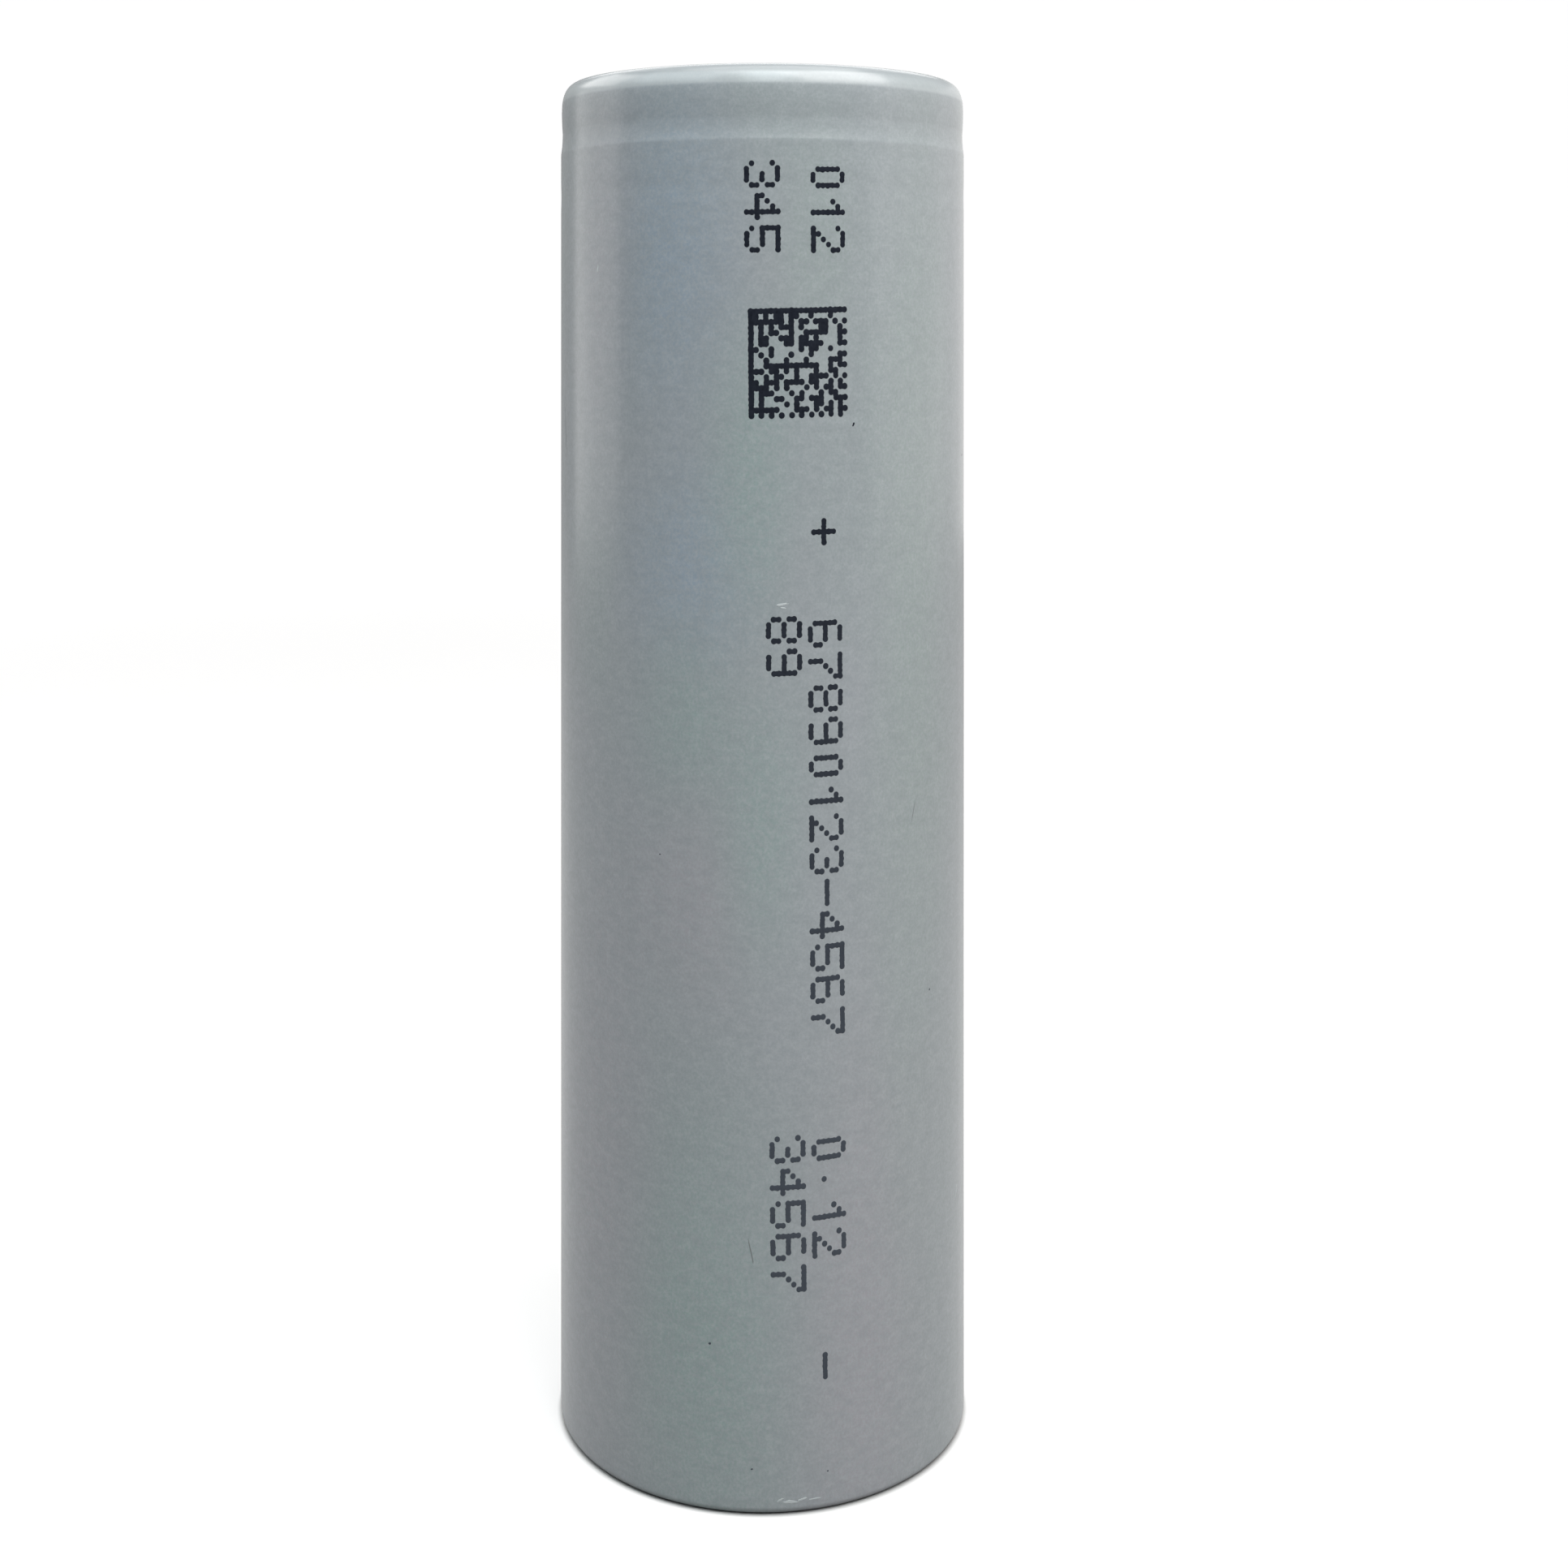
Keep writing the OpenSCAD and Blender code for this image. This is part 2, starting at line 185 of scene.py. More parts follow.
# ---------------------------------------------------------------- materials
class Look:
    """A Principled material with short ways to add procedural detail."""

    def __init__(self, name, color, rough, metal=0.0, **inputs):
        self.material = bpy.data.materials.new(name)
        self.material.use_nodes = True
        self.nodes = self.material.node_tree.nodes
        self.links = self.material.node_tree.links
        self.shader = self.nodes["Principled BSDF"]
        self.color = (*color, 1.0)
        self.shader.inputs["Base Color"].default_value = self.color
        self.shader.inputs["Roughness"].default_value = rough
        self.shader.inputs["Metallic"].default_value = metal
        for key, value in inputs.items():
            self.shader.inputs[key.replace("_", " ")].default_value = value
        self.place = self.nodes.new("ShaderNodeTexCoord").outputs["Object"]

    def scaled(self, scale):
        """The object's coordinates, scaled; scale is in features per metre along x, y and z."""
        node = self.nodes.new("ShaderNodeMapping")
        node.inputs["Scale"].default_value = scale
        self.links.new(self.place, node.inputs["Vector"])
        return node.outputs["Vector"]

    def noise(self, scale, detail=2.0, rough=0.5):
        node = self.nodes.new("ShaderNodeTexNoise")
        node.inputs["Scale"].default_value = 1.0
        node.inputs["Detail"].default_value = detail
        node.inputs["Roughness"].default_value = rough
        self.links.new(self.scaled(scale), node.inputs["Vector"])
        return node.outputs["Fac"]

    def ramp(self, value, start, end, low, high):
        """Maps start..end smoothly to low..high."""
        node = self.nodes.new("ShaderNodeMapRange")
        node.interpolation_type = "SMOOTHSTEP"
        for name, number in (("From Min", start), ("From Max", end), ("To Min", low), ("To Max", high)):
            node.inputs[name].default_value = number
        self.links.new(value, node.inputs["Value"])
        return node.outputs["Result"]

    def spread(self, value, low, high):
        """Maps the usual range of a noise value to low..high."""
        return self.ramp(value, 0.22, 0.78, low, high)

    def height(self):
        """Height above the floor in metres."""
        node = self.nodes.new("ShaderNodeSeparateXYZ")
        self.links.new(self.place, node.inputs["Vector"])
        return node.outputs["Z"]

    def patch(self, middle, reach, most):
        """A soft patch: most at its middle, fading to 0 at its reach along each axis, in millimetres."""
        node = self.nodes.new("ShaderNodeMapping")
        node.inputs["Location"].default_value = [-m / r for m, r in zip(middle, reach)]
        node.inputs["Scale"].default_value = [1 / (r * MM) for r in reach]
        self.links.new(self.place, node.inputs["Vector"])
        return self.ramp(self.length(node.outputs["Vector"]), 1.0, 0.0, 0.0, most)

    def length(self, vector):
        node = self.nodes.new("ShaderNodeVectorMath")
        node.operation = "LENGTH"
        self.links.new(vector, node.inputs[0])
        return node.outputs["Value"]

    def tint(self, value, color):
        """Mixes color into the base colour by value."""
        node = self.nodes.new("ShaderNodeMix")
        node.data_type = "RGBA"
        base = self.shader.inputs["Base Color"]
        if base.is_linked:
            self.links.new(base.links[0].from_socket, node.inputs[6])
        else:
            node.inputs[6].default_value = self.color
        node.inputs[7].default_value = (*color, 1.0)
        self.links.new(value, node.inputs[0])
        self.links.new(node.outputs[2], base)

    def vary_rough(self, value):
        self.links.new(value, self.shader.inputs["Roughness"])

    def bump(self, value, depth):
        """Adds a bump of depth millimetres over the ones before it."""
        node = self.nodes.new("ShaderNodeBump")
        node.inputs["Strength"].default_value = 1.0
        node.inputs["Distance"].default_value = depth * MM
        self.links.new(value, node.inputs["Height"])
        normal = self.shader.inputs["Normal"]
        if normal.is_linked:
            self.links.new(normal.links[0].from_socket, node.inputs["Normal"])
        self.links.new(node.outputs["Normal"], normal)


# colours of the soft changes of tint on the film
SAGE = (0.23, 0.279, 0.262)
TEAL = (0.205, 0.283, 0.27)
BLUE = (0.212, 0.27, 0.338)
MAUVE = (0.278, 0.264, 0.29)
# x, height, reach in x, reach in height, strength, colour, all on the front of the film
FILM_PATCHES = [
    (-4.5, 61.0, 5.0, 13.0, 0.9, BLUE), (-3.5, 45.6, 5.0, 8.0, 0.9, BLUE),
    (-3.8, 37.5, 4.0, 8.0, 0.8, TEAL), (-3.5, 29.5, 6.0, 9.0, 0.9, MAUVE),
    (-0.6, 50.0, 3.5, 11.0, 0.8, TEAL), (0.0, 33.0, 3.2, 10.0, 0.8, TEAL),
    (-2.8, 8.0, 6.5, 17.0, 1.0, TEAL), (5.0, 8.0, 5.0, 26.0, 1.0, MAUVE),
    (7.6, 42.0, 3.5, 44.0, 0.9, SAGE), (-8.8, 16.0, 4.5, 30.0, 1.0, MAUVE),
    (2.8, 61.0, 3.5, 10.0, 0.7, SAGE), (-8.2, 62.0, 3.0, 16.0, 0.8, MAUVE),
]


def film_look():
    look = Look("film", (0.247, 0.271, 0.284), 0.22, Specular_IOR_Level=0.5)
    green = look.noise((170, 170, 90), 3)
    look.tint(look.spread(green, 0.0, 0.5), (0.205, 0.262, 0.25))
    violet = look.noise((210, 210, 70), 2)
    look.tint(look.spread(violet, 0.0, 0.4), (0.28, 0.272, 0.31))
    for x, z, reach_x, reach_z, strength, color in FILM_PATCHES:
        look.tint(look.patch((x, -SLEEVE_R, z), (reach_x, 2 * SLEEVE_R, reach_z), strength), color)
    grain = look.noise((8000, 8000, 6500), 2, 0.7)
    look.tint(look.spread(grain, 0.0, 0.8), (0.31, 0.335, 0.35))
    mottle = look.noise((1500, 1500, 2400), 3, 0.6)
    look.tint(look.spread(mottle, 0.0, 0.36), (0.185, 0.205, 0.216))
    streaks = look.noise((170, 170, 3200), 3, 0.6)
    look.tint(look.spread(streaks, 0.0, 0.12), (0.295, 0.325, 0.34))
    # painted highlight: the film's shoulder above this height is lightened towards pale grey
    painted_highlight = look.ramp(look.height(), PAINTED_HIGHLIGHT_Z * MM, (PAINTED_HIGHLIGHT_Z + PAINTED_HIGHLIGHT_FADE) * MM, 0.0, 0.5)
    look.tint(painted_highlight, (0.4, 0.43, 0.44))
    # painted shade: the top of the shoulder is darkened in colour to tone down its highlight
    painted_top_shade = look.ramp(look.height(), PAINTED_TOP_SHADE[0] * MM, PAINTED_TOP_SHADE[1] * MM, 0.0, 1.0)
    look.tint(painted_top_shade, (0.2, 0.219, 0.23))
    look.bump(look.noise((160, 160, 60), 2), 0.02)
    look.bump(look.noise((5200, 5200, 3600), 3, 0.6), 0.004)
    return look.material


# the print grows fainter from the first height down to the second
FADING_FROM, FADED_AT = 52.0, 14.0


def ink_look():
    look = Look("ink", (0.004, 0.006, 0.012), 0.6, Specular_IOR_Level=0.12)
    patchy = look.noise((4000, 4000, 4000), 2)
    look.tint(look.spread(patchy, 0.0, 0.2), (0.03, 0.036, 0.05))
    faded = look.ramp(look.height(), FADING_FROM * MM, FADED_AT * MM, 0.0, 1.0)
    look.tint(faded, (0.05, 0.058, 0.072))
    look.bump(patchy, 0.002)
    return look.material


def nickel_look(name, brush):
    """Nickel-plated steel; brush sets how the fine rolling marks run."""
    look = Look(name, (0.5, 0.488, 0.455), 0.24, metal=1.0)
    marks = look.noise(brush, 4, 0.65)
    look.vary_rough(look.spread(marks, 0.2, 0.34))
    look.bump(marks, 0.0015)
    cloudy = look.noise((330, 330, 330), 4, 0.6)
    look.tint(look.spread(cloudy, 0.0, 0.4), (0.37, 0.35, 0.315))
    look.bump(look.noise((900, 900, 900), 2), 0.003)
    return look.material


def board_look():
    look = Look("washer_board", (0.46, 0.455, 0.43), 0.75)
    fibres = look.noise((1500, 5200, 3000), 5, 0.7)
    look.tint(look.spread(fibres, 0.0, 0.5), (0.36, 0.35, 0.32))
    look.bump(fibres, 0.01)
    look.bump(look.noise((500, 500, 500), 3), 0.02)
    return look.material


def plastic_look(name, color, rough, other, through=0.0):
    look = Look(name, color, rough, Transmission_Weight=through)
    clouds = look.noise((600, 600, 600), 3)
    look.tint(look.spread(clouds, 0.0, 0.5), other)
    look.vary_rough(look.spread(look.noise((2500, 2500, 2500), 2), rough - 0.06, rough + 0.06))
    look.bump(look.noise((3000, 3000, 3000), 3), 0.004)
    return look.material


def coating_look(name, color, other):
    """Matte calendered electrode powder."""
    look = Look(name, color, 0.85)
    powder = look.noise((9000, 9000, 9000), 3, 0.7)
    look.tint(look.spread(powder, 0.0, 0.8), other)
    look.bump(powder, 0.006)
    look.bump(look.noise((300, 300, 2600), 2), 0.004)
    return look.material


def foil_look(name, color, rough):
    look = Look(name, color, rough, metal=1.0)
    marks = look.noise((6000, 900, 900), 4, 0.6)
    look.vary_rough(look.spread(marks, rough - 0.08, rough + 0.08))
    look.bump(marks, 0.002)
    look.tint(look.spread(look.noise((450, 450, 450), 3), 0.0, 0.4), tuple(0.8 * c for c in color))
    return look.material


film = film_look()
ink = ink_look()
can_nickel = nickel_look("can_nickel", (1400, 1400, 260))
cap_nickel = nickel_look("cap_nickel", (700, 5200, 900))
board = board_look()
LOOKS = {
    "crimp_gasket": plastic_look("seal", (0.62, 0.68, 0.72), 0.35, (0.5, 0.58, 0.64), 0.3),
    "cid_insulator_ring": plastic_look("ring_plastic", (0.66, 0.62, 0.5), 0.45, (0.58, 0.54, 0.42)),
    "upper_insulator": plastic_look("upper_board", (0.6, 0.53, 0.33), 0.6, (0.52, 0.45, 0.27)),
    "lower_insulator": plastic_look("lower_board", (0.6, 0.53, 0.33), 0.6, (0.52, 0.45, 0.27)),
    "vent_disc_rim": foil_look("rim_aluminium", (0.72, 0.73, 0.74), 0.28),
    "vent_disc_centre": foil_look("centre_aluminium", (0.74, 0.75, 0.76), 0.24),
    "cid_weld_plate": foil_look("plate_aluminium", (0.7, 0.71, 0.72), 0.32),
    "cathode_tab": foil_look("tab_aluminium", (0.72, 0.73, 0.75), 0.3),
    "anode_tab": foil_look("tab_nickel", (0.6, 0.57, 0.5), 0.3),
    "cathode_sheet": coating_look("cathode_coat", (0.03, 0.03, 0.034), (0.055, 0.055, 0.06)),
    "anode_sheet": coating_look("anode_coat", (0.045, 0.042, 0.04), (0.075, 0.07, 0.066)),
    "separator_inner": plastic_look("separator_a", (0.84, 0.84, 0.82), 0.4, (0.78, 0.78, 0.76), 0.2),
    "separator_outer": plastic_look("separator_b", (0.84, 0.84, 0.82), 0.4, (0.78, 0.78, 0.76), 0.2),
    "centre_pin": foil_look("pin_steel", (0.58, 0.57, 0.55), 0.35),
    "roll_closing_tape": plastic_look("closing_tape", (0.12, 0.36, 0.18), 0.3, (0.1, 0.3, 0.15)),
    "cathode_tab_tape": plastic_look("tab_tape_a", (0.56, 0.25, 0.05), 0.25, (0.48, 0.2, 0.04), 0.1),
    "anode_tab_tape": plastic_look("tab_tape_b", (0.56, 0.25, 0.05), 0.25, (0.48, 0.2, 0.04), 0.1),
}
for node_name, material in LOOKS.items():
    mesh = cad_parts[node_name].data
    mesh.materials.clear()
    mesh.materials.append(material)


# ---------------------------------------------------------------- shrink film
wander_a = smooth_noise(11, (1, 7), 6)
wander_b = smooth_noise(12, (1, 7), 6)
CREASES = (math.radians(97), math.radians(278))
CREASE_WIDTH = math.radians(2.2)
CREASE_RISE = 0.012
WANDER = 0.0025
# millimetres of height in which each wander turns by one radian
SLOW_WAVE, QUICK_WAVE = 9, 5


def film_surface(phi, z):
    """Outer radius of the film at azimuth phi and height z, with its small unevenness."""
    phi, z = np.asarray(phi, float), np.asarray(z, float)
    radius = film_radius(z)
    radius = radius + WANDER * wander_a(phi) * np.cos(z / SLOW_WAVE)
    radius = radius + WANDER * wander_b(phi) * np.sin(z / QUICK_WAVE)
    for crease in CREASES:
        off = np.arctan2(np.sin(phi - crease), np.cos(phi - crease))
        radius = radius + CREASE_RISE * np.exp(-((off / CREASE_WIDTH) ** 2))
    return radius


def wrap(points):
    """Lays points (distance round the film from the front, height, rise above the film) onto the film."""
    s, z, rise = np.array(points, float).T
    phi = s / SLEEVE_R
    r = film_surface(phi, z) + rise
    return list(zip(r * np.sin(phi), -r * np.cos(phi), z))


def shoulder(inset, steps=30):
    """The film's rounded top edge, moved in by inset, from the wall up to the top ring."""
    turns = np.linspace(0, math.pi / 2, steps)
    across, up = np.clip(np.cos(turns), 0, 1) ** 0.8, np.sin(turns) ** 0.8
    r = TOP_CENTRE[0] + (SHOULDER_WIDE - inset) * across
    return list(zip(r, TOP_CENTRE[1] + (SHOULDER_TALL - inset) * up))


TOP_CENTRE = (SLEEVE_R - HEAD_INSET - SHOULDER_WIDE, SLEEVE_TOP - SHOULDER_TALL)
PLEAT_RISE = 0.05
TOP_EDGE_WANDER, BASE_EDGE_WANDER = 0.16, 0.15


def build_film():
    base_centre = (SLEEVE_R - BASE_EDGE_R, BASE_EDGE_R)
    fine = list(np.arange(FAINT_RING_Z - 1.5, TOP_CENTRE[1], 0.05))
    heights = list(np.arange(BASE_EDGE_R + 0.4, fine[0], 0.9)) + fine
    outer = [(FOLD_BASE_R, 0)] + line((FOLD_BASE_R, 0), (base_centre[0], 0), 8)
    outer += arc(base_centre, BASE_EDGE_R, -90, 0, 10) + [(film_radius(z), z) for z in heights]
    outer += shoulder(0)
    outer += line((TOP_CENTRE[0], SLEEVE_TOP), (FOLD_TOP_R, SLEEVE_TOP), 10) + [(FOLD_TOP_R, SLEEVE_TOP)]
    under = SLEEVE_TOP - FILM
    inner = [(FOLD_TOP_R, under)] + line((FOLD_TOP_R, under), (TOP_CENTRE[0], under), 10)
    inner += shoulder(FILM)[::-1]
    inner += [(film_radius(z) - FILM, z) for z in reversed(heights)]
    inner += arc(base_centre, BASE_EDGE_R - FILM, 0, -90, 10)
    inner += line((base_centre[0], FILM), (FOLD_BASE_R, FILM), 8) + [(FOLD_BASE_R, FILM)]

    pleats = smooth_noise(21, (9, 41), 16)
    long_pleats = smooth_noise(22, (3, 9), 5)
    top_edge = smooth_noise(23, (2, 13), 8)
    base_edge = smooth_noise(24, (2, 15), 8)

    def warp(phi, r, z):
        straight = (z > BASE_EDGE_R) & (z < TOP_CENTRE[1])
        r = np.where(straight, r + film_surface(phi, z) - film_radius(z), r)
        top_share = np.clip((TOP_CENTRE[0] - r) / (TOP_CENTRE[0] - FOLD_TOP_R), 0, 1) * (z > under - 0.01)
        rise = 0.5 + 0.32 * pleats(phi) + 0.25 * long_pleats(phi)
        z = z + PLEAT_RISE * np.clip(rise, 0, 1) * top_share**1.5
        r = r + TOP_EDGE_WANDER * top_edge(phi) * top_share
        base_share = np.clip((base_centre[0] - r) / (base_centre[0] - FOLD_BASE_R), 0, 1)
        base_share = base_share * (z < FILM + 0.01)
        return r + BASE_EDGE_WANDER * base_edge(phi) * base_share, z

    piece = revolve("sleeve_film", outer + inner, film, warp)
    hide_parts("shrink_sleeve")


# ---------------------------------------------------------------- printed dots
DIGITS = {
    "0": "00110 01001 01001 01001 01001 01001 00110",
    "1": "00010 00110 01010 00010 00010 00010 00010",
    "2": "01110 10001 00001 00010 00100 01000 11111",
    "3": "01110 10001 00001 00110 00001 10001 01110",
    "4": "00010 00110 01010 10010 11111 00010 00010",
    "5": "11111 10000 10000 11110 00001 10001 01110",
    "6": "01110 10000 10000 11110 10001 10001 01110",
    "7": "11111 00001 00010 00100 01000 01000 01000",
    "8": "01110 10001 10001 01110 10001 10001 01110",
    "9": "01110 10001 10001 01111 00001 00001 01110",
    ".": "00000 00000 00000 00000 00100 00000 00000",
    "+": "00000 00100 00100 11111 00100 00100 00000",
    "-": "00000 00000 00000 11111 00000 00000 00000",
}
COLUMN = 0.2605
ROW = 0.25
SLANT = 0.021
DRIFT = 0.0075
CODE_ROW = 0.265
CODE_COLUMN = 0.244
CODE_SIZE = 20
CODE_FILL = 0.52
CODE_DOT_R = 0.15
DOT_R = 0.139
DOT_SMEAR = 1.08
DOT_CORNERS = 14
DOT_JITTER = 0.006
BRIDGE_S, BRIDGE_Z = 0.82, 0.92
INK_RISE = 0.006
INK_SINK = 0.003
# share of a dot's reach and rise above the film, from its foot to its flat top
DOT_RINGS = ((1.0, -INK_SINK), (0.93, INK_RISE * 0.7), (0.8, INK_RISE))
# text, distance of its feet round the film from the front line, height where it starts
PRINT_LINES = [
    ("012", 2.45, 65.05),
    ("345", -0.78, 65.05),
    ("+", 2.25, 47.8),
    ("67890123-4567", 2.32, 42.87),
    ("89", 0.28, 43.1),
    ("0.12", 2.5, 18.1),
    ("34567", 0.46, 18.1),
    ("-", 2.32, 7.5),
]
CODE_LEFT, CODE_TOP = -0.57, 57.93


def text_dots(text, feet, start):
    """Dots of one line of print. It reads down the cell, with the feet of the figures to the left."""
    cells = set()
    for n, char in enumerate(text):
        for row, bits in enumerate(DIGITS[char].split()):
            cells |= {(6 - row, 6 * n + column) for column, bit in enumerate(bits) if bit == "1"}
    return joined_dots(cells, (feet, start), (ROW, COLUMN), DOT_R)


def code_dots():
    """A square of random dots with two solid edges and two dotted edges. It holds no message."""
    rng = random.Random(5)
    last = CODE_SIZE - 1
    cells = set()
    for row in range(CODE_SIZE):
        for column in range(CODE_SIZE):
            inside = rng.random() < CODE_FILL
            if row == 0 or column == 0:
                inside = True
            elif row == last:
                inside = column % 2 == 0
            elif column == last:
                inside = row % 2 == 0
            if inside:
                cells.add((column, row))
    return joined_dots(cells, (CODE_LEFT, CODE_TOP), (CODE_COLUMN, CODE_ROW), CODE_DOT_R)


def joined_dots(cells, start, pitch, radius):
    """Dots on a slanted grid, and smaller ones where two neighbours have run together."""
    dots = []
    for i, j in sorted(cells):
        spots = [(i, j, 1.0)]
        spots += [(i + 0.5, j, BRIDGE_S)] if (i + 1, j) in cells else []
        spots += [(i, j + 0.5, BRIDGE_Z)] if (i, j + 1) in cells else []
        for u, v, size in spots:
            across, along = u * pitch[0], v * pitch[1]
            place = (start[0] + across + DRIFT * along, start[1] - along + SLANT * across)
            dots.append((*place, radius * size))
    return dots


def blot(points, faces, centre, half_s, half_z, turn=0.0, wobble=(0,) * DOT_CORNERS):
    """Adds a thin rounded patch to points and faces."""
    first, corners = len(points), DOT_CORNERS
    for share, rise in DOT_RINGS:
        for k in range(corners):
            t = 2 * math.pi * k / corners
            reach = share * (1 + wobble[k])
            u, v = half_s * reach * math.cos(t), half_z * reach * math.sin(t)
            s = centre[0] + u * math.cos(turn) - v * math.sin(turn)
            points.append((s, centre[1] + u * math.sin(turn) + v * math.cos(turn), rise))
    for ring in (0, corners):
        for k in range(corners):
            a, b = first + ring + k, first + ring + (k + 1) % corners
            faces.append((a, b, b + corners, a + corners))
    faces.append(tuple(first + 2 * corners + k for k in range(corners)))
    faces.append(tuple(first + k for k in reversed(range(corners))))


def build_print():
    rng = random.Random(31)
    points, faces = [], []
    dots = [dot for entry in PRINT_LINES for dot in text_dots(*entry)] + code_dots()
    for s, z, radius in dots:
        size = radius * rng.uniform(0.95, 1.06)
        centre = (s + rng.gauss(0, DOT_JITTER), z + rng.gauss(0, DOT_JITTER))
        blot(points, faces, centre, size, size * DOT_SMEAR)
    mesh_object("printed_dots", wrap(points), faces, ink)


# ---------------------------------------------------------------- wear on the film
# distance round the film, height, half length, half width, turn in degrees
DARK_SPECKS = [
    (4.55, 52.44, 0.11, 0.05, 70), (-2.57, 8.15, 0.07, 0.06, 20), (-0.51, 2.25, 0.06, 0.05, 0),
    (3.2, 1.9, 0.05, 0.04, 40), (-5.2, 31.5, 0.04, 0.03, 10), (9.6, 24.0, 0.06, 0.05, 60),
    (14.2, 50.5, 0.07, 0.04, 15), (-17.0, 17.3, 0.06, 0.05, 75), (24.5, 40.2, 0.05, 0.05, 0),
]
PALE_SCUFFS = [
    (0.94, 43.82, 0.3, 0.06, 8), (1.0, 43.66, 0.14, 0.04, -12), (1.35, 0.62, 0.36, 0.09, -4),
    (1.9, 0.7, 0.22, 0.05, 14), (0.85, 0.75, 0.2, 0.05, 30), (2.5, 0.66, 0.3, 0.03, 2),
    (-9.4, 60.1, 0.25, 0.04, 80), (12.8, 12.7, 0.3, 0.04, 65), (-22.0, 44.0, 0.28, 0.05, 12),
]
SCRATCHES = [(-0.55, 12.66, 0.72, 0.026, 102), (8.3, 33.2, 0.6, 0.014, 75), (-13.5, 52.0, 0.9, 0.014, 96)]


def build_marks(name, marks, look, seed):
    rng = random.Random(seed)
    points, faces = [], []
    for s, z, length, width, turn in marks:
        wobble = [rng.uniform(-0.3, 0.3) for _ in range(DOT_CORNERS)]
        blot(points, faces, (s, z), length, width, math.radians(turn), wobble)
    mesh_object(name, wrap(points), faces, look)


# ---------------------------------------------------------------- can, washer and cap
CAN_WALL = 0.25
CAN_FLOOR = 0.35
CAN_EDGE_R = 0.4
CRIMP_R = 0.9
MOUTH_R = 8.5
BEAD_Z = SLEEVE_TOP - 2.9
BEAD_R = 0.7
BEAD_CENTRE_R = CAN_R - 1.2 + BEAD_R
SCORE_R, SCORE_W, SCORE_DEPTH = 7.8, 0.25, 0.12
SCORE_SLOPE = 0.03
WELD_MARK_R, WELD_MARK_DEPTH = 1.1, 0.03


def can_wall_path(inset, floor_z):
    """The can's surface, moved in by inset, from its floor's edge up to its mouth."""
    body_r, head_r = CAN_R - inset, CAN_R - HEAD_INSET - inset
    bend = BEAD_R + inset
    edge_r = CAN_EDGE_R - inset
    path = arc((body_r - edge_r, floor_z + edge_r), edge_r, -90, 0, 8)
    path += line((body_r, floor_z + edge_r), (body_r, BEAD_Z - bend), 40)
    path += [(body_r, BEAD_Z - bend)] + arc((BEAD_CENTRE_R, BEAD_Z), bend, -90, -270, 28)
    path += [(head_r, BEAD_Z + bend)]
    corner = CRIMP_R - inset
    return path + arc((head_r - corner, CRIMP_TOP - CRIMP_R), corner, 0, 90, 14)


def build_can():
    floor = [(0.0, CAN_LOW + WELD_MARK_DEPTH)]
    floor += [
        (r, CAN_LOW + WELD_MARK_DEPTH * (1 - float(smoothstep(0.5, WELD_MARK_R, r))))
        for r in np.linspace(0.2, WELD_MARK_R, 10)
    ]
    floor += line((WELD_MARK_R, CAN_LOW), (SCORE_R, CAN_LOW), 12)
    floor += [
        (SCORE_R, CAN_LOW), (SCORE_R + SCORE_SLOPE, CAN_LOW + SCORE_DEPTH),
        (SCORE_R + SCORE_W - SCORE_SLOPE, CAN_LOW + SCORE_DEPTH), (SCORE_R + SCORE_W, CAN_LOW),
    ]
    outside = can_wall_path(0.0, CAN_LOW)
    inside = can_wall_path(CAN_WALL, CAN_LOW + CAN_FLOOR)
    mouth = [(MOUTH_R, CRIMP_TOP), (MOUTH_R, CRIMP_TOP - CAN_WALL)]
    loop = floor + outside + mouth + inside[::-1] + [(0.0, CAN_LOW + CAN_FLOOR)]
    piece = revolve("can_shell", loop, can_nickel, segments=METAL_SEGMENTS)
    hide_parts("steel_can")


WASHER_HOLE_R = 6.2
WASHER_SAG, WASHER_RIPPLE = 0.14, 0.05


def build_washer():
    lip = (WASHER_TOP - WASHER_LOW) / 2
    middle = (WASHER_TOP + WASHER_LOW) / 2
    loop = arc((WASHER_HOLE_R + lip * 0.6, middle), lip, 270, 90, 7)
    loop += line((WASHER_HOLE_R + lip, WASHER_TOP), (WASHER_R - lip, WASHER_TOP), 24)
    loop += arc((WASHER_R - lip, middle), lip, 90, -90, 7)
    loop += line((WASHER_R - lip, WASHER_LOW), (WASHER_HOLE_R + lip, WASHER_LOW), 24)
    ripple = smooth_noise(41, (2, 9), 6)

    def warp(phi, r, z):
        sag = smoothstep(MOUTH_R - 0.4, WASHER_HOLE_R, r)
        return r, z - sag * (WASHER_SAG + WASHER_RIPPLE * ripple(phi))

    piece = revolve("insulating_washer", loop, board, warp)
    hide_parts("top_washer")


CAP_T = 0.45
CONTACT_R = 5.0
CONTACT_EDGE_R = 0.6
RISER_FILLET = 0.3
UNDER_FILLET = 0.2
UNDER_CORNER_R = 0.25
FLANGE_EDGE_R = 0.1
WINDOWS = 4
WINDOW_W, WINDOW_H = 2.8, 0.6
WINDOW_LIFT = 0.05
CUTTER_LONG = 1.6
WINDOW_CORNER_R = 0.18


